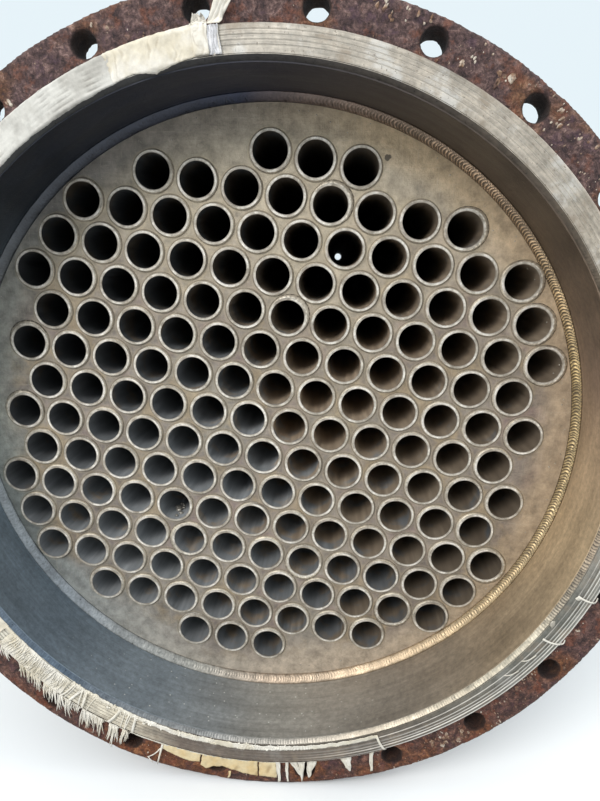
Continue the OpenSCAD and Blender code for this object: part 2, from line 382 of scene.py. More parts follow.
def ring_material():
    """Turned and stained ring: lathe lines, grooves with painted shade low and painted light high, residue,
    pits, and painted highlight lines low down.
    """
    g = Skin("facing ring", 0.25)
    streaks = g.noise(1, 5, 0.68, at=g.lathe(4, 190))
    fine = g.noise(1, 3, 0.6, at=g.lathe(2, 1100))
    blotch = g.noise(34, 6, 0.68)
    colour = g.round_ramp(
        (0, 0.42, 0.4, 0.35), (0.14, 0.66, 0.62, 0.52), (0.185, 0.58, 0.52, 0.41), (0.21, 0.16, 0.125, 0.1),
        (0.33, 0.125, 0.108, 0.085), (0.42, 0.15, 0.15, 0.128), (0.48, 0.32, 0.29, 0.25),
        (0.58, 0.41, 0.36, 0.295), (0.68, 0.4, 0.355, 0.295), (0.8, 0.46, 0.425, 0.37), (1, 0.42, 0.4, 0.35))
    colour = g.shaded(colour, (streaks, 0.72, 1.25), (fine, 0.85, 1.15), (g.noise(130, 5, 0.7), 0.68, 1.3))
    residue = g.span(blotch, 0.54, 0.64, 0, 0.5) * g.span(g.up, -0.3, 0.3, 0.25, 1)
    pits = g.span(g.noise(330, 2, 0.5), 0.36, 0.32, 0, 0.7)
    count = (RING_R - GROOVE_MARGIN - g.radius) / GROOVE_PITCH
    groove = g.span(abs(count - g.math("ROUND", count)), 0.19, 0.11) * (abs(count - 1.5) < 1.95)
    # Painted highlights: thin bright lines near the rim and at the listed radii, at the lower right.
    edge_highlights = g.span(g.radius, RING_R - 1.6 * MM, RING_R - MM)
    for line_r in HIGHLIGHT_RADII:
        edge_highlights = g.math("MAXIMUM", edge_highlights, g.span(abs(g.radius - line_r), 0.65 * MM, 0.25 * MM))
    edge_highlights = edge_highlights * g.span(streaks, 0.3, 0.6, 0.24, 0.8)
    low_right = g.span(g.right, 0.1, 0.45) * g.span(g.up, 0, -0.25)
    # Painted shade darkens the grooves low down, and painted light fills them high up to cancel their shade.
    colour = g.layered(
        colour, (residue, (0.66, 0.655, 0.63)),
        (g.span(blotch, 0.45, 0.35, 0, 0.6), (0.26, 0.205, 0.15)),
        (pits * g.span(g.up, 0.3, 0.7), (0.14, 0.11, 0.085)),
        (groove * g.span(g.up, -0.4, 0.2, 0.35, 0), (0.085, 0.065, 0.05)),
        (groove * g.span(g.up, 0.3, 0.8, 0, 0.45), (0.72, 0.69, 0.63)),
        (edge_highlights * low_right, (0.8, 0.77, 0.71)))
    return g.finished(colour, g.span(streaks, 0.35, 0.65, 0.42, 0.64), (fine, 0.25), (blotch, 0.5))


def barrel_material():
    """Rolled wall with faint lines round it. Inside, painted light and shade: dark overhead, golden on one
    side, and a slate painted sky reflection on the other.
    """
    g = Skin("barrel", 0.35)
    fine = g.noise(1, 4, 0.6, at=g.lathe(1.6, 330))
    broad = g.noise(1, 4, 0.6, at=g.lathe(2.2, 40))
    blotch = g.noise(10, 6, 0.65)
    grain = g.noise(170, 5, 0.7)
    # Painted light and shade on the inner wall: near black overhead where it faces down, golden where lit at
    # the lower right, and a slate painted reflection of the sky on the left.
    inside = g.round_ramp(
        (0, 0.2, 0.25, 0.3), (0.07, 0.2, 0.253, 0.3), (0.12, 0.145, 0.185, 0.225), (0.19, 0.205, 0.24, 0.27),
        (0.25, 0.265, 0.255, 0.23), (0.33, 0.24, 0.205, 0.165), (0.39, 0.3, 0.23, 0.155),
        (0.45, 0.57, 0.43, 0.27), (0.53, 0.285, 0.2, 0.145), (0.6, 0.11, 0.079, 0.054),
        (0.67, 0.06, 0.045, 0.035), (0.76, 0.019, 0.02, 0.032), (0.88, 0.016, 0.021, 0.029),
        (1, 0.2, 0.25, 0.3))
    inside = g.shaded(inside, (broad, 0.84, 1.17), (fine, 0.9, 1.11), (grain, 0.78, 1.24),
                      (blotch, 0.8, 1.22))
    low_left = g.span(g.up, -0.72, -0.92) * g.span(g.right, 0.5, 0.1)
    drips = g.span(g.cells(115), 0.12, 0.07) * g.span(g.noise(40, 2), 0.4, 0.5) * low_left
    inside = g.mix(drips * 0.85, inside, (0.7, 0.7, 0.66))
    colour = g.mix(g.radius > SHELL_R - WALL / 2, inside, plate_colour(g))
    return g.finished(colour, g.span(broad, 0.3, 0.7, 0.38, 0.6), (fine, 0.25), (grain, 0.4), (blotch, 0.8))


def sheet_material():
    """Ground tube sheet with heat tint: gold by the weld and high up, mauve-brown between the tubes. Its
    band by the weld also holds painted light and shade.
    """
    g = Skin("tube sheet", 0.35)
    away, tube = g.from_nearest_tube()
    blotch = g.noise(8, 5, 0.62, 0.3)
    small = g.noise(75, 7, 0.72)
    tinge = g.noise(19, 4, 0.6)
    flat_marks = g.noise(1, 3, 0.6, at=g.scaled(30, 1, 900))
    steep_marks = g.noise(1, 3, 0.6, at=g.scaled(700, 1, 40))
    grind = g.math("MAXIMUM", flat_marks, steep_marks)
    # The band by the weld holds heat tint and painted light and shade: lightest at the bottom, darkest at
    # the upper and lower left.
    rim = g.round_ramp(
        (0, 0.4, 0.395, 0.34), (0.04, 0.27, 0.28, 0.255), (0.07, 0.18, 0.193, 0.182),
        (0.13, 0.32, 0.325, 0.305), (0.25, 0.5, 0.42, 0.335), (0.38, 0.42, 0.33, 0.235),
        (0.5, 0.37, 0.285, 0.2), (0.6, 0.48, 0.36, 0.235), (0.68, 0.5, 0.38, 0.24),
        (0.76, 0.27, 0.23, 0.18), (0.86, 0.175, 0.163, 0.148), (1, 0.39, 0.385, 0.33))
    middle = g.ramp(blotch, (0.35, 0.155, 0.125, 0.11), (0.5, 0.21, 0.175, 0.148),
                    (0.65, 0.235, 0.208, 0.175))
    height = (blotch - 0.5) * 0.25 + g.z
    middle = g.layered(
        middle, (g.span(tinge, 0.54, 0.64, 0, 0.5), (0.33, 0.235, 0.12)),
        (g.span(tinge, 0.46, 0.36, 0, 0.5), (0.215, 0.14, 0.135)),
        (g.span(height, AXIS_Z + 0.08, AXIS_Z + 0.24, 0, 0.9), (0.41, 0.35, 0.262)))
    inward = g.span(blotch * 0.06 + g.radius, 0.355, 0.325)
    colour = g.shaded(g.mix(inward * 0.9, rim, middle), (small, 0.6, 1.45))
    # Painted shade: a dark ring on the sheet round the foot of each tube's weld.
    toe = g.span(away, TUBE_R + 2.4 * MM, TUBE_R + 1.5 * MM) * tube
    blot = g.length(g.x - BLOT[0], g.z - (AXIS_Z + BLOT[1])) + (small - 0.5) * (14 * MM)
    colour = g.layered(
        colour, (g.span(away, 26.5 * MM, 23.5 * MM, 0, 0.22) * tube, (0.46, 0.38, 0.24)),
        (toe * 0.6, (0.06, 0.048, 0.04)),
        (g.span(grind, 0.6, 0.72, 0, 0.25), (0.55, 0.49, 0.4)),
        (g.span(blot, 3.4 * MM, 2.2 * MM, 0, 0.8) * (g.y < 0), (0.035, 0.028, 0.022)))
    return g.finished(colour, g.span(grind, 0.4, 0.7, 0.38, 0.56), (grind, 0.22), (small, 0.8))


def tube_material():
    """Ends ground bright in places with painted shade on their inner edge, and dull walls with painted
    reflections, painted light, and painted shade that goes dark within a hand's width of the mouth.
    """
    g = Skin("tube", 0.3)
    streak = g.noise(1, 4, 0.62, at=g.scaled(170, 11, 170))
    # Painted reflections mixed with random tone: warm to the right of the bundle, cool slate to the left and
    # low.
    warm = g.ramp(streak, (0.25, 0.19, 0.147, 0.108), (0.6, 0.28, 0.222, 0.163), (0.8, 0.38, 0.315, 0.24))
    cool = g.ramp(streak, (0.25, 0.13, 0.138, 0.142), (0.6, 0.2, 0.208, 0.216), (0.8, 0.27, 0.277, 0.28))
    patch = g.noise(26, 3, 0.6) + (g.right * 0.16 + g.up * 0.06)
    # Painted shade: the walls go near black deeper inside than a hand's width from the mouth.
    inside = g.layered(warm, (g.span(patch, 0.56, 0.42), cool),
                       (g.span(TUBE_END - abs(g.y), 0.04, 0.26), (0.034, 0.032, 0.031)))
    # Painted light and shade by place in the bundle: brightest along a middle band, dark high on the left,
    # dimmer low and at the right.
    high_left = (g.z - AXIS_Z) * 0.8 - g.x * 0.6
    lit = g.span(high_left, -0.28, -0.05, 0.5, 1) * g.span(high_left, 0, 0.22, 1.8, 0.3)
    inside = g.mix(1, inside, lit * g.span(g.x, 0.1, 0.26, 1, 0.72), "MULTIPLY")
    bright = g.ramp(g.noise(60, 3, 0.6), (0.36, 0.32, 0.28, 0.225), (0.5, 0.54, 0.495, 0.42),
                    (0.62, 0.76, 0.715, 0.64))
    bright = g.shaded(bright, (g.noise(300, 3), 0.75, 1.2))
    away, _ = g.from_nearest_tube()
    # Painted shade: a dark band along the inner edge of each tube's end.
    bright = g.mix(g.span(away, TUBE_BORE_R + 1.1 * MM, TUBE_BORE_R, 0, 0.6), bright, (0.12, 0.1, 0.08))
    facing = g.split(g.node("NewGeometry", output="True Normal"))[1]
    colour = g.mix(g.span(abs(facing), 0.3, 0.7), inside, bright)
    return g.finished(colour, g.span(streak, 0.3, 0.7, 0.32, 0.6), (streak, 0.3))


def bead_material(name, dark, *stops):
    """Rippled weld bead, coloured by its direction from the axis, with painted shade in the valleys and
    painted highlights on the crests.
    """
    g = Skin(name, 0.5)
    shade = g.noise(240, 3, 0.6)
    tint = g.shaded(g.round_ramp(*stops), (shade, 0.75, 1.2), (g.noise(30, 4, 0.6), 0.7, 1.25))
    # Painted highlights on the crests and painted shade in the valleys.
    tint = g.mix(1, tint, g.span(g.relief(), 0.35, 0.95, 0.75, 1.4), "MULTIPLY")
    tint = g.mix(g.span(g.relief(), 0.5, 0.1, 0, 0.88), tint, dark)
    return g.finished(tint, g.span(shade, 0.3, 0.7, 0.26, 0.5), (shade, 0.25))


def tube_bead_material():
    """Thin seal welds: tinted like the sheet, with painted shade along the toe and painted highlights on
    their crests.
    """
    g = Skin("tube weld", 0.35)
    shade = g.noise(330, 4, 0.65)
    base = g.ramp(g.noise(24, 4, 0.6), (0.35, 0.28, 0.24, 0.19), (0.5, 0.44, 0.385, 0.305),
                  (0.65, 0.6, 0.53, 0.415))
    # Painted shade along the toe and painted highlights on the crests.
    base = g.layered(g.shaded(base, (shade, 0.7, 1.3)),
                     (g.span(g.relief(), 0.24, 0.1, 0, 0.75), (0.055, 0.044, 0.036)),
                     (g.span(g.relief(), 0.6, 0.9, 0, 0.8), (0.74, 0.695, 0.61)))
    return g.finished(base, g.span(shade, 0.3, 0.7, 0.3, 0.5), (shade, 0.4))


def plate_colour(g):
    """Weathered rolled plate: dull blotches, faint lines round the shell, and stains that run down."""
    lines = g.noise(1, 4, 0.6, at=g.joined(g.right * 6, g.up * 6, g.y * 60))
    run = g.noise(1, 5, 0.6, at=g.joined(g.right * 2, g.y * 14, g.up * 0.6))
    blotch = g.noise(3.2, 6, 0.62, 0.6)
    stain = run * g.span(g.noise(38, 5, 0.65), 0.3, 0.7, 0.85, 1.15)
    dust = g.span(g.up, 0.45, 0.95) * g.span(blotch, 0.4, 0.6)
    return g.layered(
        g.ramp(blotch, (0.3, 0.205, 0.195, 0.178), (0.52, 0.31, 0.297, 0.275), (0.75, 0.42, 0.405, 0.38)),
        (g.span(lines, 0.3, 0.7, 0, 0.35), (0.21, 0.197, 0.175)),
        (g.span(stain, 0.56, 0.7, 0, 0.6), (0.17, 0.1, 0.058)),
        (dust * 0.4, (0.44, 0.405, 0.355)))


def shell_material():
    g = Skin("shell", 0.45)
    small = g.noise(38, 5, 0.65)
    return g.finished(plate_colour(g), g.span(small, 0.3, 0.7, 0.42, 0.68), (small, 0.6))


def nozzle_material():
    """Turned nozzle flange and plain neck, with a light bloom of rust."""
    g = Skin("nozzle", 0.45)
    small = g.noise(70, 5, 0.65)
    blotch = g.noise(12, 5, 0.6, 0.4)
    steel = g.ramp(blotch, (0.3, 0.25, 0.237, 0.215), (0.55, 0.38, 0.367, 0.34), (0.8, 0.49, 0.475, 0.445))
    steel = g.mix(g.span(small * blotch * 2, 0.56, 0.72, 0, 0.75), steel, (0.19, 0.1, 0.05))
    return g.finished(steel, g.span(small, 0.3, 0.7, 0.36, 0.62), (small, 0.5))


def tape_material(name, pale, middle, crease_shade):
    """Old crinkled masking tape, stained in places, with painted shade in the creases."""
    g = Skin(name)
    crepe = g.noise(150, 6, 0.62)
    colour = g.mix(g.span(g.noise(26, 5, 0.65), 0.42, 0.62), pale, middle)
    colour = g.shaded(colour, (crepe, 0.84, 1.1))
    # Painted shade in the creases.
    return g.finished(g.mix(g.span(g.relief(), 0.45, 0.05, 0, 0.75), colour, crease_shade), 0.82, (crepe, 0.7))


def flake_material():
    """Pale scale and old primer that is flaking off the rust."""
    g = Skin("flakes")
    grain = g.noise(700, 3, 0.6)
    colour = g.ramp(g.noise(75, 3, 0.6), (0.36, 0.11, 0.062, 0.048), (0.46, 0.24, 0.14, 0.085),
                    (0.54, 0.42, 0.32, 0.245), (0.64, 0.64, 0.57, 0.48))
    return g.finished(g.shaded(colour, (grain, 0.6, 1.25)), 0.85, (grain, 0.6))


# Camera, light and floor

def make_camera():
    bpy.context.scene.view_settings.view_transform = "Standard"
    data = bpy.data.cameras.new("camera")
    data.sensor_fit = "VERTICAL"
    data.sensor_height = 36
    data.lens = 25.88
    data.clip_start = 0.01
    camera = put("camera", data)
    camera.location = (0.0731, -2.1396, 0.6016)
    camera.rotation_euler = [math.radians(turn) for turn in (76.104, -0.651, 3.498)]
    bpy.context.scene.camera = camera


def make_area_light(name, place, target, size, power):
    data = bpy.data.lights.new(name, "AREA")
    data.shape = "DISK"
    data.size = size
    data.energy = power
    data.color = (1, 0.98, 0.95)
    light = put(name, data)
    light.location = place
    light.rotation_euler = (Vector(target) - Vector(place)).to_track_quat("-Z", "Y").to_euler()


def make_world():
    """Pale for the camera and for gloss, and for the light a soft sky that is brighter above."""
    world = bpy.data.worlds.new("studio")
    bpy.context.scene.world = world
    world.use_nodes = True
    g = Graph(world.node_tree)
    height = g.split(g.node("TexCoord", output="Generated"))[2]
    strength = g.span(height, -0.2, 1, 0.46, 1.25)
    sky = g.node("Background", (("Color", (0.90, 0.96, 1)), ("Strength", strength)))
    backdrop = g.node("Background", [("Color", (0.80, 0.90, 0.95))])
    both = g.node("MixShader", enumerate((g.seen_plainly(), sky, backdrop)))
    g.feed(g.tree.nodes["World Output"].inputs["Surface"], both)


def make_floor():
    """Pale floor that throws less light back at the object than it shows."""
    reach = 30
    mesh = bpy.data.meshes.new("floor")
    corners = [(-reach, -reach, 0), (reach, -reach, 0), (reach, reach, 0), (-reach, reach, 0)]
    mesh.from_pydata(corners, [], [(0, 1, 2, 3)])
    floor = put("floor", mesh)
    g = Skin("floor")
    g.use("Specular IOR Level", 0.1)
    colour = g.mix(g.seen_plainly(), (0.36, 0.36, 0.36), (0.84, 0.86, 0.87))
    mesh.materials.append(g.finished(colour, 0.9))


# Making meshes

class Solid:
    """Vertices, faces and relief that several closed shapes are gathered into."""

    def __init__(self):
        self.vertices = []
        self.faces = []
        self.relief = []

    def loft(self, sections, reliefs, ring=False):
        """Skin over closed sections of one length. A ring joins up, and else the ends are capped."""
        base = len(self.vertices)
        size = len(sections[0])
        for section, relief in zip(sections, reliefs):
            self.vertices.extend(section)
            self.relief.extend(relief)
        count = len(sections)
        for i in range(count if ring else count - 1):
            here = base + i * size
            there = base + (i + 1) % count * size
            for j in range(size):
                k = (j + 1) % size
                self.faces.append((here + j, here + k, there + k, there + j))
        if not ring:
            self.faces.append(tuple(range(base, base + size)))
            self.faces.append(tuple(range(base + (count - 1) * size, base + count * size)))

    def blanket(self, rows, reliefs):
        """A closed sheet of tape whose front is given by rows of points."""
        behind = Vector((0, TAPE_T, 0))
        sections = [[*row, *(point + behind for point in reversed(row))] for row in rows]
        self.loft(sections, [[*line, *([0.5] * len(line))] for line in reliefs])

    def strand(self, path, width, taper):
        """A flat fibre along the path, whose width at the far end is taper times the width."""
        behind = Vector((0, FIBRE_T, 0))
        sections = []
        for i, point in enumerate(path):
            before, after = path[max(0, i - 1)], path[min(len(path) - 1, i + 1)]
            across = (after - before).cross(Vector((0, 1, 0))).normalized()
            half = across * width / 2 * (1 + (taper - 1) * i / (len(path) - 1))
            sections.append([point + half, point - half, point - half + behind, point + half + behind])
        self.loft(sections, [[0.9] * 4] * len(sections))

    def lump(self, place, size, chance, points=8):
        """A small domed crumb on a surface. place(along, across, up) gives a point near its middle."""
        sections = []
        spread = [chance.uniform(0.65, 1.2) for _ in range(points)]
        for up, share in ((-0.3, 1), (0.15, 1), (0.45, 0.75), (0.6, 0.35)):
            sections.append([
                place(size * share * s * math.cos(FULL_TURN * i / points),
                      size * share * s * math.sin(FULL_TURN * i / points), size * up)
                for i, s in enumerate(spread)])
        self.loft(sections, [[0.9] * points] * len(sections))

    def add(self, name, material, slot, *stands_for):
        """Makes the piece in the row frame, riding on the body."""
        mesh = bpy.data.meshes.new(name)
        mesh.from_pydata([tuple(v) for v in self.vertices], [], self.faces)
        mesh.attributes.new("relief", "FLOAT", "POINT").data.foreach_set("value", self.relief)
        skin = bmesh.new()
        skin.from_mesh(mesh)
        bmesh.ops.recalc_face_normals(skin, faces=skin.faces)
        skin.to_mesh(mesh)
        skin.free()
        mesh.shade_smooth()
        mesh.materials.append(material)
        piece = put(name, mesh)
        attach(piece, "root")
        if stands_for:
            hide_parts(*stands_for)


# Weld beads

def add_ripples(solid, place, corner, foot_a, foot_b, pitch, depth, crown, bow, seed, steps, across=6,
                lively=None):
    """A ring-shaped weld bead in a corner, with overlapping ripples that bow forward.

    place(angle, radius, offset) gives a point. The corner and the feet are (radius, offset).
    lively has rising degrees from -180 to 180, and how marked the ripples are at each.
    """
    count = round(FULL_TURN * (foot_a[0] + foot_b[0]) / 2 / pitch)
    foot_a, foot_b, corner = Vector(foot_a), Vector(foot_b), Vector(corner)
    outward = ((foot_a + foot_b) / 2 - corner).normalized()
    sections, reliefs = [], []
    for i in range(count * steps):
        turn = i / (count * steps)
        angle = FULL_TURN * turn
        c, s = 3 * math.cos(angle), 3 * math.sin(angle)
        sway = 0.10 * wander(seed, 6 * c, 6 * s)
        jitter = 0.9 * wander(seed + 1, 9 * c, 9 * s)
        marked = np.interp((math.degrees(angle) + 180) % 360 - 180, *lively) if lively else 1
        strength = (0.85 + 0.45 * wander(seed + 2, 4 * c, 4 * s)) * marked
        swell = 1 + 0.35 * wander(seed + 3, 12 * c, 12 * s)
        section, relief = [place(angle, *corner)], [0.5]
        for j in range(across + 1):
            t = j / across
            arch = math.sin(math.pi * t)
            phase = turn * count + jitter - bow * arch
            ripple = (1 - phase % 1) ** 1.5 * strength * arch ** 0.5
            rise = crown * swell * arch ** 0.8 + depth * (ripple - 0.4 * arch)
            spot = foot_a.lerp(foot_b, t + sway * arch) + outward * rise
            section.append(place(angle, *spot))
            relief.append(1 - marked * (1 - min(1, max(0, 0.1 + ripple / marked + 0.2 * (1 - arch)))))
        sections.append(section)
        reliefs.append(relief)
    solid.loft(sections, reliefs, ring=True)


def along_y(out):
    """place() for beads round the exchanger's axis. Offsets grow outwards at that end."""
    return lambda angle, radius, offset: on_axis(radius, angle, out * offset)


def add_end_bead(name, end, out, material, slot, *corners, **look):
    """One bead round an end, in the place of the model's plain one."""
    solid = Solid()
    add_ripples(solid, along_y(out), *corners, **look)
    solid.add(f"{end}_{name}_bead", material, slot, f"{end}_{name}_weld")


def add_end_beads(end, out, steps):
    """The beads between sheet and barrel, in the ring's bore, and behind the flange."""
    leg = SHEET_WELD_LEG + 0.6 * MM
    back_leg = 9 * MM
    add_end_bead("sheet", end, out, sheet_bead, "weld_steel",
                 (BORE_R, SHEET_FACE), (BORE_R - leg, SHEET_FACE), (BORE_R, SHEET_FACE + leg),
                 pitch=3.5 * MM, depth=1.3 * MM, crown=1.2 * MM, bow=1.3, seed=3, steps=steps, across=9,
                 lively=SHEET_WELD_LIVELY)
    add_end_bead("rim", end, out, rim_bead, "weld_steel",
                 (RING_BORE_R, FLANGE_FACE), (RING_BORE_R + 0.8 * MM, FLANGE_FACE + RING_THICK + 0.3 * MM),
                 (BORE_R, FLANGE_FACE - 2 * MM), pitch=3.1 * MM, depth=0.8 * MM, crown=0.7 * MM, bow=-0.5,
                 seed=8, steps=steps, lively=RIM_WELD_LIVELY)
    add_end_bead("flange", end, out, rust, "rusty_steel",
                 (SHELL_R, FLANGE_BACK), (SHELL_R + back_leg, FLANGE_BACK),
                 (SHELL_R, FLANGE_BACK - back_leg), pitch=7 * MM, depth=0.9 * MM, crown=1.2 * MM, bow=0.8,
                 seed=12, steps=4)


def add_girth_beads():
    solid = Solid()
    half = 7.5 * MM
    for number, y in enumerate((-BARREL_BACK, COURSE_LOW, COURSE_HIGH, BARREL_BACK)):
        add_ripples(solid, along_y(1), (SHELL_R - MM, y), (SHELL_R, y - half), (SHELL_R, y + half),
                    pitch=7 * MM, depth=0.9 * MM, crown=2.2 * MM, bow=1.1, seed=20 + 5 * number, steps=4)
    solid.add("girth_beads", plain_bead, "weld_steel", "girth_welds")


def add_tube_beads(end, out, steps):
    """Small irregular beads that seal the tubes' ends. A few are heavy, rippled and widest outwards."""
    solid = Solid()
    chance = random.Random(41 + out)
    stand = TUBE_END - SHEET_FACE
    lip = TUBE_R - 0.5 * MM
    foot_y = SHEET_FACE - MM
    for x, z in tube_centres():
        spot = (x, z - AXIS_Z)
        heavy = chance.random() < 0.06 or min(math.dist(spot, place) for place in HEAVY_BEADS) < PITCH / 3
        rough = (0.8 if heavy else chance.uniform(0.15, 0.4)) * MM
        wide = (1.6 if heavy else chance.uniform(1.3, 1.8)) * MM
        seed = chance.uniform(0, 900)
        outwards = math.atan2(z - AXIS_Z, x) - 0.5
        count = steps * 3 if heavy else steps
        sections, reliefs = [], []
        for i in range(count):
            angle = FULL_TURN * i / count
            c, s = math.cos(angle), math.sin(angle)
            swell = max(0, math.cos(angle - outwards) + 0.25) if heavy else 0
            phase = HEAVY_RIPPLES * i / count + 0.4 * wander(seed, 2 * c, 2 * s)
            ripple = (1 - phase % 1) * min(1, 1.5 * swell)
            uneven = wander(seed, 3.2 * c, 3.2 * s)
            lump = rough * (uneven + 1.3 * ripple)
            foot = TUBE_R + wide + 2.6 * MM * swell + 0.5 * MM * wander(seed + 4, 1.5 * c, 1.5 * s)
            section, relief = [(lip, foot_y), (foot, foot_y)], [0.3, 0.1]
            for up, share in ((0.25, 0.88), (0.62, 0.60), (0.88, 0.25), (0.90, 0)):
                section.append((lip + (foot - lip) * share, SHEET_FACE + (stand + lump) * up - 0.2 * MM))
                # This relief is a painted shade level: dark at the foot, lighter up the bead, dark in the
                # heavy beads' ripple valleys.
                shade = 0.75 * up + 260 * rough * uneven * up
                relief.append(0.05 + shade - (0.55 * (1 - ripple) * share if swell else 0))
            sections.append([Vector((x + r * c, out * y, z + r * s)) for r, y in section])
            reliefs.append([max(0, min(1, value)) for value in relief])
        solid.loft(sections, reliefs, ring=True)
    solid.add(f"{end}_tube_beads", tube_bead, "weld_steel")


def add_seams():
    """Straight weld beads along the shell's courses and the barrels, one in each rolled plate."""
    solid = Solid()
    half = 6.5 * MM
    step = 2.2 * MM
    across = 6
    last = FLANGE_BACK - 12 * MM
    ends = (-last, -BARREL_BACK, COURSE_LOW, COURSE_HIGH, BARREL_BACK, last)
    for start, finish, degrees in zip(ends, ends[1:], (62, 118, 55, 124, 60)):
        sections, reliefs = [], []
        count = round((finish - start) / step)
        for i in range(count + 1):
            y = start + (finish - start) * i / count
            section, relief = [], []
            for j in range(across + 1):
                t = j / across
                arch = math.sin(math.pi * t)
                phase = y / (7 * MM) + 0.6 * wander(degrees, 30 * y) - 1.1 * arch
                rise = (2 * arch ** 0.8 + 0.9 * (1 - phase % 1) * arch) * MM
                angle = math.radians(degrees) + half * (2 * t - 1) / SHELL_R
                section.append(on_axis(SHELL_R - 0.1 * MM + rise, angle, y))
                relief.append(min(1, 0.15 + (1 - phase % 1) + 0.3 * (1 - arch)))
            section.append(on_axis(SHELL_R - 2 * MM, math.radians(degrees), y))
            relief.append(0.5)
            sections.append(section)
            reliefs.append(relief)
        solid.loft(sections, reliefs)
    solid.add("shell_seams", plain_bead, "weld_steel")


def add_nozzle_beads(name, side):
    """The nozzle's beads: neck to pad, pad to shell, neck to flange behind it and in its bore."""
    solid = Solid()
    low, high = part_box(f"{name}_neck")
    neck_r = (high.y - low.y) / 2
    middle = (high.y + low.y) / 2
    pad_low, pad_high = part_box(f"{name}_pad")
    pad_r = (pad_high.y - pad_low.y) / 2
    back = min(abs(corner.x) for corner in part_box(f"{name}_flange"))
    end = max(abs(low.x), abs(high.x))
    leg = 7 * MM

    def straight(angle, radius, offset):
        return Vector((side * offset, middle + radius * math.cos(angle), AXIS_Z + radius * math.sin(angle)))

    def over(round_r):
        return lambda angle, radius, offset: straight(
            angle, radius, math.sqrt(round_r ** 2 - (radius * math.sin(angle)) ** 2) + offset)

    beads = ((over(SHELL_R + PAD_T), (neck_r, 0), (neck_r + leg, 0), (neck_r, leg)),
             (over(SHELL_R), (pad_r - MM, 0), (pad_r + leg, -0.5 * MM), (pad_r - MM, leg)),
             (straight, (neck_r, back), (neck_r + leg, back), (neck_r, back - leg)),
             (straight, (neck_r - 3 * MM, end), (neck_r + 0.3 * MM, end + 3 * MM), (neck_r - 5 * MM, end)))
    for number, bead in enumerate(beads):
        add_ripples(solid, *bead, pitch=5 * MM, depth=0.8 * MM, crown=MM, bow=0.8, seed=50 + 5 * number,
                    steps=4)
    solid.add(f"{name}_beads", plain_bead, "weld_steel", f"{name}_welds")


# Masking tape left on the front ring. Its radii, heights and widths are in millimetres

def over_ring(radius, degrees, lift):
    """A point that high on the front facing ring, or on the draped tape beyond the ring's edges."""
    past_rim = max(0, radius - RING_R / MM)
    past_bore = max(0, RING_BORE_R / MM - radius)
    sink = min(past_rim * 1.1, RING_THICK / MM - 0.9) + past_bore * 0.7
    return on_axis(radius * MM, math.radians(degrees), -RING_FACE - (lift - sink) * MM)


def crease(along, pitch, seed, *at):
    """Height from 0 to 1 of uneven creases that are about pitch apart."""
    phase = along / pitch + 1.1 * wander(seed, *at)
    return abs(2 * (phase % 1) - 1) ** 1.4


def torn_edge(seed, degrees):
    return wander(seed, degrees * 0.8) + 0.6 * wander(seed + 1, degrees * 3.7)


def add_tape(solid, degrees, inner, outer, seed, pitch=2.4, height=0.9, run=1, lean=0.5, ragged=0.7,
             columns=12, sway=1):
    """Tape between two edges, each given as radii at the listed degrees.

    Its creases cross it, lean along it and sway. With a small run they follow it round the ring.
    """
    start, finish = degrees[0], degrees[-1]
    count = max(8, round((finish - start) / TAPE_STEP))
    rows, reliefs = [], []
    for i in range(count + 1):
        at = start + (finish - start) * i / count
        low = np.interp(at, degrees, inner) + ragged * torn_edge(seed, at)
        high = np.interp(at, degrees, outer) + ragged * torn_edge(seed + 3, at)
        row, relief = [], []
        for j in range(columns + 1):
            radius = low + (high - low) * j / columns
            line = run * math.radians(at) * TAPE_R + lean * radius
            fold = crease(line, pitch, seed, at * 0.35 * sway, radius * 0.055 * sway)
            buckle = max(0, 0.5 + 0.8 * wander(seed + 5, at * 0.9, radius * 0.07))
            marked = min(1, max(0.2, 0.5 + 1.3 * wander(seed + 7, at * 0.45, radius * 0.05)))
            near_end = max(0, 1 - min(at - start, finish - at) / 1.2)
            jagged = at + 0.4 * near_end * wander(90, radius * 0.3)
            row.append(over_ring(radius, jagged, 0.3 + height * (0.55 * fold * marked + 0.6 * buckle)))
            relief.append(1 - marked * (0.85 - 0.75 * fold))
        rows.append(row)
        reliefs.append(relief)
    solid.blanket(rows, reliefs)


def add_patch(solid, base, tip, seed, height=0.8, pitch=3, torn=0, lifts=(0.5, 0.5), columns=14):
    """A piece creased from base to tip, each two corners (radius, degrees), with its tip torn unevenly."""
    base, tip = [Vector(corner) for corner in base], [Vector(corner) for corner in tip]
    width = math.radians(abs(base[1].y - base[0].y)) * base[0].x
    rows, reliefs = [], []
    for i in range(PATCH_STEPS + 1):
        t = i / PATCH_STEPS
        left, right = base[0].lerp(tip[0], t), base[1].lerp(tip[1], t)
        row, relief = [], []
        for j in range(columns + 1):
            s = j / columns
            radius, degrees = left.lerp(right, s)
            radius += torn * t ** 3 * wander(seed + 4, 9 * s)
            degrees += 0.25 * wander(seed + 2, 3 * t, 2 * s)
            fold = crease(width * s, pitch, seed, 2.5 * t, 2 * s)
            rise = height * (fold + 0.7 * wander(seed + 6, 3 * t, 3 * s))
            row.append(over_ring(radius, degrees, rise + lifts[0] + (lifts[1] - lifts[0]) * t))
            relief.append(0.2 + 0.7 * fold)
        rows.append(row)
        reliefs.append(relief)
    solid.blanket(rows, reliefs)


def add_fibre(solid, start, finish, width, chance, taper=1, lift=1):
    """A fibre from start to finish, each (radius, degrees), with a slight bend."""
    bend, bulge = chance.uniform(-1.6, 1.6), chance.uniform(0.3, 2)
    path = []
    for i in range(7):
        t = i / 6
        arch = math.sin(math.pi * t)
        radius, degrees = Vector(start).lerp(Vector(finish), t)
        path.append(over_ring(radius, degrees + math.degrees(bend * arch / radius), lift + bulge * arch))
    solid.strand(path, width * MM, taper)


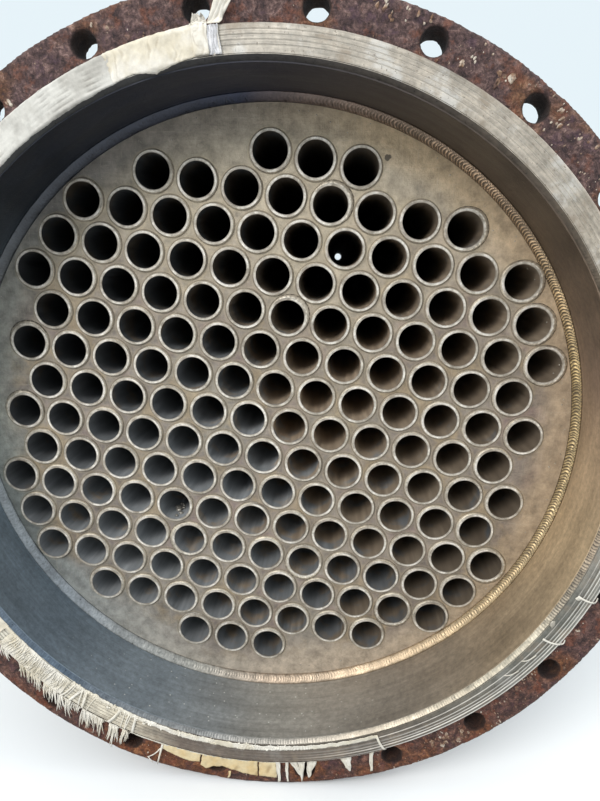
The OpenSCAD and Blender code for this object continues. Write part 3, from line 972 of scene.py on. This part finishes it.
def add_tuft(solid, start, finish, reach, slant, chance):
    """A torn tuft over the flange's face, matted near the rim and frayed beyond."""
    rim = RING_R / MM + 1.5
    matted = rim + 0.42 * reach
    tip = ((matted, start + slant / 2), (matted, finish + slant / 2))
    add_patch(solid, ((rim, start), (rim, finish)), tip, seed=-start, pitch=1.7, torn=0.7 * reach,
              columns=10)
    for _ in range(round(5 * (finish - start)) + 3):
        at = chance.uniform(start, finish)
        tip = rim + reach * chance.uniform(0.5, 1)
        add_fibre(solid, (rim + 0.1 * reach, at), (tip, at + slant + chance.uniform(-0.4, 0.4)),
                  chance.uniform(0.6, 2), chance, taper=chance.uniform(0.2, 0.7))


def facing_front(centre):
    """place() for crumbs on a face towards the front."""
    return lambda a, b, up: centre + Vector((a, -up, b))


def add_upper_tape(solid, chance):
    """The crumpled sheet near the top, and its loose end, which stands out over a bolt hole."""
    add_tape(solid, (98, 99.5, 102, 104.2, 106.5, 107.2, 110.5),
             (356.2, 355.4, 353.6, 351.2, 354.6, 355.6, 354.4),
             (382.8, 382.2, 381.6, 381, 380.6, 380.4, 379.8),
             seed=3, pitch=6.5, height=1.3, lean=0.2, columns=18, sway=1.6)
    add_patch(solid, ((380, 96.4), (379, 94.6)), ((399, 94.8), (398, 92.6)), seed=41, height=0.9, pitch=4.5,
              torn=2, lifts=(1.6, 7))
    add_patch(solid, ((380, 98.5), (380, 96)), ((389, 97.8), (387, 96.6)), seed=43, height=2.2, torn=3,
              lifts=(1.2, 4))
    add_patch(solid, ((382.8, 98.5), (382.6, 96.2)), ((356.4, 98.3), (356.3, 96.4)), seed=45, height=0.6,
              pitch=9, lifts=(2.4, 2.2), columns=10)
    add_fibre(solid, (378.4, 94.8), (356.4, 94.7), 0.9, chance)


def add_scraps(solid, chance):
    """Short white strips and glue marks at the lower right."""
    strips = (((361.5, -24.1), (383, -23.9), 2.2), ((361, -24.3), (365, -24.1), 4.4),
              ((382.6, -24.4), (382.8, -23.2), 1.3), ((360.5, -33.6), (381.5, -32.5), 2.2),
              ((381, -32.9), (381.8, -31.8), 1.5), ((368, -36.6), (361.5, -39), 1.5),
              ((368, -40.6), (361.5, -43), 1.1))
    for start, finish, width in strips:
        add_fibre(solid, start, finish, width, chance, 0.8, 0.3)


def add_lower_left_tape(solid, chance):
    """The matted band at the lower left, and the tufts that it is torn into along the rim."""
    add_tape(solid, (-160, -142.5), (354.6, 354.4), (382.4, 382.2), seed=20)
    add_tape(solid, (-142.7, -141), (354.8, 354.6), (359.5, 359), seed=21, columns=5)
    add_tape(solid, (-142.7, -141), (374, 374.5), (382.2, 382.4), seed=22, columns=5)
    add_tape(solid, (-141.2, -137, -132, -129, -127.2), (355, 354.6, 355.2, 355.6, 356),
             (382.6, 383.2, 383, 382.6, 381), seed=24, columns=16)
    for _ in range(110):
        at = chance.uniform(-141, -127.4)
        tip = (chance.uniform(370, 383), at + chance.uniform(-0.6, 0.6))
        add_fibre(solid, (chance.uniform(355, 363), at), tip, chance.uniform(0.4, 1), chance, lift=0.9)
    tufts = ((-114.9, -113.6, 25, 0.3), (-117.4, -115.6, 34, 0.8), (-122.6, -118.7, 29, 1.3),
             (-125.2, -123.2, 13, 0.6), (-127.6, -124.9, 25, 1.6), (-130.8, -127.6, 21, 1.4),
             (-133.4, -131.6, 19, 1.6), (-136.2, -133.9, 16, 1.7), (-140.5, -139, 12, 1.5))
    for start, finish, reach, slant in tufts:
        add_tuft(solid, start, finish, reach, slant, chance)
    bridges = ((-113.6, -113, 3), (-114.9, -114.4, 1.6), (-114.5, -114.6, 1.1), (-115.8, -115.3, 1),
               (-116.8, -118, 3.2), (-116.5, -117.6, 1), (-121.8, -122, 1), (-123.7, -122.8, 2.6),
               (-124.5, -123.4, 1.3), (-124.1, -122.6, 0.9), (-124.5, -125.5, 2.2), (-124.9, -125.7, 1),
               (-126.4, -127.3, 2), (-126, -126.6, 0.9))
    for high, low, width in bridges:
        add_fibre(solid, (356.5, high), (382.5, low), width, chance)


def add_edge_lines(solid, chance):
    """The tape's edges that stayed along the bore and the rim when the rest came off."""
    add_tape(solid, (-127, -120, -113, -105, -99, -94, -89, -82, -76, -68.3),
             (354.4, 354, 354.6, 355.2, 355, 355.6, 355.8, 356.4, 356.6, 357),
             (357.8, 358.2, 358.6, 361.6, 362, 363, 361.6, 361.8, 361.6, 361),
             seed=30, pitch=3.1, height=1.2, lean=0.3, ragged=1.1, columns=6)
    for _ in range(150):
        centre = over_ring(chance.uniform(354.2, 361.5), chance.uniform(-127, -84), 0.8)
        solid.lump(facing_front(centre), chance.uniform(0.5, 1.5) * MM, chance, points=6)
    add_tape(solid, (-127, -113, -100, -85, -68), (381, 381.2, 381.4, 381.2, 380.8),
             (383.8, 384.6, 384.4, 383, 382), seed=33, pitch=8, height=0.5, ragged=0.5, columns=4)
    add_fibre(solid, (357.5, -68.4), (381.5, -67.9), 2.6, chance)
    add_fibre(solid, (384, -107.4), (413, -107.2), 2.6, chance, 0.5)
    add_fibre(solid, (390, -107.5), (408, -109.1), 1.8, chance, 0.5)
    add_fibre(solid, (407, -109.1), (413, -108), 1.2, chance, 0.5)
    teeth = ((-70.9, -70.1, 407, -71.6), (-76.2, -74, 402, -75), (-81.9, -80.2, 405, -81.9),
             (-83.4, -82.2, 411, -83.1), (-85, -83.5, 401, -83.4), (-85.7, -85.1, 410, -85.5),
             (-87.4, -86.5, 411, -86.9))
    for start, finish, tip, at in teeth:
        add_patch(solid, ((381.5, start), (381.5, finish)), ((tip, at - 0.15), (tip, at + 0.15)),
                  seed=-start, height=0.5, columns=6)


def add_yellowed_tape(solid, chance):
    """The cracked piece that hangs over the flange at the bottom."""
    pieces = (((-107.2, -105.8, -104, -102.5, -100.5), (390, 392.5, 395, 396, 395)),
              ((-100.2, -99.2, -97.9, -96.4, -94.9, -92.6, -90.5),
               (398, 402, 397.5, 395, 397.5, 401, 403.5)),
              ((-90.2, -88.5, -87.3), (403, 403.5, 404.5)))
    for number, (at, outer) in enumerate(pieces):
        add_tape(solid, at, [383.4] * len(at), outer, seed=36 + number, pitch=26, height=0.7, ragged=1.2)
    add_fibre(solid, (400, -95.2), (410, -95.4), 3, chance, 0.6)


def add_worn_tape(solid, _):
    """The scuffed band on the upper left, creased along its length."""
    add_tape(solid, (109.8, 114, 120, 127, 134, 142, 150), (354.2, 353.6, 353.2, 353.8, 353.4, 354, 355),
             (379.8, 379.6, 379.4, 379.4, 379.6, 379.4, 379.2),
             seed=14, pitch=4.2, height=0.8, run=0.02, lean=1, columns=30, sway=0.2)


def add_grimy_tape(solid, _):
    """The dirty strip that crosses the ring near the top."""
    add_patch(solid, ((378.8, 96.4), (378.8, 94.8)), ((355.8, 96.3), (355.8, 94.7)), seed=50, height=2,
              pitch=2.6)


def add_all_tape():
    chance = random.Random(77)
    # Each tape's colours: pale, middle, and the painted shade in its creases.
    tapes = (
        ("cream_tape", (add_upper_tape, add_scraps, add_lower_left_tape, add_edge_lines),
         "masking tape", (0.82, 0.785, 0.705), (0.69, 0.63, 0.5), (0.36, 0.3, 0.21)),
        ("yellowed_tape", [add_yellowed_tape], "yellowed tape", (0.8, 0.7, 0.47), (0.7, 0.53, 0.28),
         (0.34, 0.22, 0.1)),
        ("worn_tape", [add_worn_tape], "worn tape", (0.64, 0.63, 0.585), (0.46, 0.445, 0.405),
         (0.13, 0.115, 0.1)),
        ("grimy_tape", [add_grimy_tape], "grimy tape", (0.84, 0.84, 0.86), (0.46, 0.465, 0.49),
         (0.012, 0.012, 0.012)))
    for piece, makers, *look in tapes:
        solid = Solid()
        for maker in makers:
            maker(solid, chance)
        solid.add(piece, tape_material(*look), "tape")


# Scale and crumbs

def add_flake(solid, out, radius, angle, size, chance):
    """A thin flake on an end flange's outer face, if no bolt hole is there."""
    middle = (math.floor(angle / SECTOR) + 0.5) * SECTOR
    away = math.hypot((angle - middle) * HOLE_CIRCLE_R, radius - HOLE_CIRCLE_R)
    if away > HOLE_R + 3 * MM:
        c, s = math.cos(angle), math.sin(angle)
        centre = on_axis(radius, angle, out * FLANGE_FACE)
        thin = min(1, 1.1 * MM / size)
        slim = chance.uniform(0.45, 0.85)
        solid.lump(lambda a, b, up: centre + Vector(
            (a * c - b * slim * s, out * up * thin, a * s + b * slim * c)), size, chance, points=7)


def add_flakes(end, out):
    """Scale and flakes of primer on the rust, with the larger ones where the photo's front end has them."""
    solid = Solid()
    chance = random.Random(90 + out)
    for _ in range(520 if out < 0 else 240):
        angle = chance.choice((chance.uniform(0, FULL_TURN), math.radians(chance.gauss(48, 14)),
                               math.radians(chance.gauss(-50, 11))))
        radius = chance.uniform(RING_R + 3 * MM, FLANGE_R - 3 * MM)
        size = chance.choice((0.4, 0.5, 0.7, 0.9, 1.3)) * chance.uniform(0.7, 1.4) * MM
        add_flake(solid, out, radius, angle % FULL_TURN, size, chance)
    for degrees, radius, size in CHIPS:
        for _ in range(3):
            at = math.radians(degrees + chance.uniform(-0.35, 0.35)) % FULL_TURN
            away = (radius + chance.uniform(-2, 2)) * MM
            add_flake(solid, out, away, at, size * chance.uniform(0.5, 1) * MM, chance)
    for low, high, inner, outer, count in SCALE_PATCHES:
        for _ in range(count):
            at = math.radians(chance.uniform(low, high)) % FULL_TURN
            add_flake(solid, out, chance.uniform(inner, outer) * MM, at, chance.uniform(1, 3) * MM, chance)
    solid.add(f"{end}_flakes", flake, "rusty_steel")


def add_spatter():
    """Droplets round the front welds, a blob on the rim's weld, and dry sludge in the mouth of one tube."""
    solid = Solid()
    chance = random.Random(5)
    for _ in range(70):
        radius = (338 - abs(chance.gauss(0, 7))) * MM
        centre = on_axis(radius, chance.uniform(0, FULL_TURN), -SHEET_FACE)
        solid.lump(facing_front(centre), chance.uniform(0.5, 1.1) * MM, chance, points=6)
    blob = over_ring(357, -30.5, 0.3)
    solid.lump(lambda a, b, up: blob + Vector((a * 0.7, -up * 0.5, b)), 5 * MM, chance)
    wanted = (SLUDGE[0], SLUDGE[1] + AXIS_Z)
    x, z = min(tube_centres(), key=lambda centre: math.dist(centre, wanted))
    for _ in range(9):
        centre = Vector((x + chance.uniform(-6, 6) * MM, -TUBE_END + chance.uniform(6, 45) * MM,
                         z - TUBE_BORE_R + 1.5 * MM))
        solid.lump(lambda a, b, up: centre + Vector((a, b, up)), chance.uniform(1.5, 4.5) * MM, chance)
    solid.add("spatter", plain_bead, "weld_steel")


# Dressing the frame's own pieces

def dress(material, *nodes):
    for name in nodes:
        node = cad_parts[name]
        if not node.data.materials:
            node.data.materials.append(material)
        for place in node.material_slots:
            place.material = material


def crust(point):
    """How far the rust stands out or in at a point, in metres."""
    swell = noise.fractal(point * 45, 1, 2, 3)
    pit = max(0, noise.noise(point * 150) - 0.22)
    return 0.5 * MM * swell - MM * pit


def add_rusty_flange(end, cell):
    """The flange with a crust: remeshed, and its skin moved in and out by a millimetre or less."""
    piece = put(f"{end}_rusty_flange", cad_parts[f"{end}_flange"].data.copy())
    remesh = piece.modifiers.new("remesh", "REMESH")
    remesh.mode = "VOXEL"
    remesh.voxel_size = cell
    bpy.context.view_layer.update()
    finished = piece.evaluated_get(bpy.context.evaluated_depsgraph_get())
    mesh = bpy.data.meshes.new_from_object(finished)
    piece.modifiers.clear()
    piece.data = mesh
    places = np.empty((len(mesh.vertices), 3))
    normals = np.empty((len(mesh.vertices), 3))
    mesh.vertices.foreach_get("co", places.ravel())
    mesh.vertex_normals.foreach_get("vector", normals.ravel())
    lift = np.array([crust(Vector(place)) for place in places])
    mesh.vertices.foreach_set("co", (places + normals * lift[:, None]).ravel())
    mesh.shade_smooth()
    mesh.materials.clear()
    mesh.materials.append(rust)
    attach(piece, "root")
    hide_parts(f"{end}_flange")


rust = rust_material()
flake = flake_material()
tube_bead = tube_bead_material()
# The sheet and rim welds' colours by direction hold painted light and shade: near black overhead, where they
# face down, and lightest on the right.
sheet_bead = bead_material(
    "sheet weld", (0.07, 0.05, 0.032),
    (0, 0.2, 0.212, 0.216), (0.12, 0.2, 0.216, 0.232), (0.2, 0.25, 0.24, 0.216), (0.25, 0.27, 0.208, 0.155),
    (0.35, 0.32, 0.238, 0.148), (0.45, 0.5, 0.37, 0.2), (0.53, 0.6, 0.44, 0.21), (0.62, 0.66, 0.45, 0.28),
    (0.69, 0.25, 0.172, 0.125), (0.76, 0.013, 0.016, 0.031), (0.9, 0.042, 0.046, 0.052),
    (1, 0.2, 0.212, 0.216))
rim_bead = bead_material(
    "rim weld", (0.06, 0.052, 0.045),
    (0, 0.13, 0.154, 0.185), (0.14, 0.083, 0.11, 0.145), (0.22, 0.19, 0.187, 0.18), (0.3, 0.22, 0.19, 0.15),
    (0.36, 0.27, 0.235, 0.18), (0.4, 0.46, 0.41, 0.32), (0.47, 0.38, 0.285, 0.2), (0.53, 0.2, 0.155, 0.11),
    (0.6, 0.095, 0.074, 0.054), (0.75, 0.024, 0.022, 0.022), (0.9, 0.028, 0.03, 0.03),
    (1, 0.13, 0.154, 0.185))
plain_bead = bead_material("shell weld", (0.085, 0.075, 0.062), (0, 0.28, 0.264, 0.235),
                           (0.5, 0.31, 0.282, 0.233), (1, 0.28, 0.264, 0.235))

make_camera()
make_world()
make_floor()
make_area_light("key", (-1.5, -4, 2.6), (0, -1.5, 0.4), 1.8, 100)
make_area_light("side", (3.2, -1.5, 2.4), (0, 0, 0.4), 1.6, 45)

dress(ring_material(), "front_facing_ring", "rear_facing_ring")
dress(barrel_material(), "front_barrel", "rear_barrel")
dress(sheet_material(), "front_tube_sheet", "rear_tube_sheet")
dress(tube_material(), *(f"tube_row_{row:02d}" for row in range(1, 16)))
dress(shell_material(), "shell_front_course", "shell_middle_course", "shell_rear_course", "inlet_pad",
      "outlet_pad")
dress(nozzle_material(), "inlet_neck", "inlet_flange", "outlet_neck", "outlet_flange")

for end, out, steps, cell in (("front", -1, 5, 3 * MM), ("rear", 1, 3, 4.5 * MM)):
    add_rusty_flange(end, cell)
    add_end_beads(end, out, steps)
    add_tube_beads(end, out, 8 * steps)
    add_flakes(end, out)
add_girth_beads()
add_seams()
add_nozzle_beads("inlet", 1)
add_nozzle_beads("outlet", -1)
add_spatter()
add_all_tape()
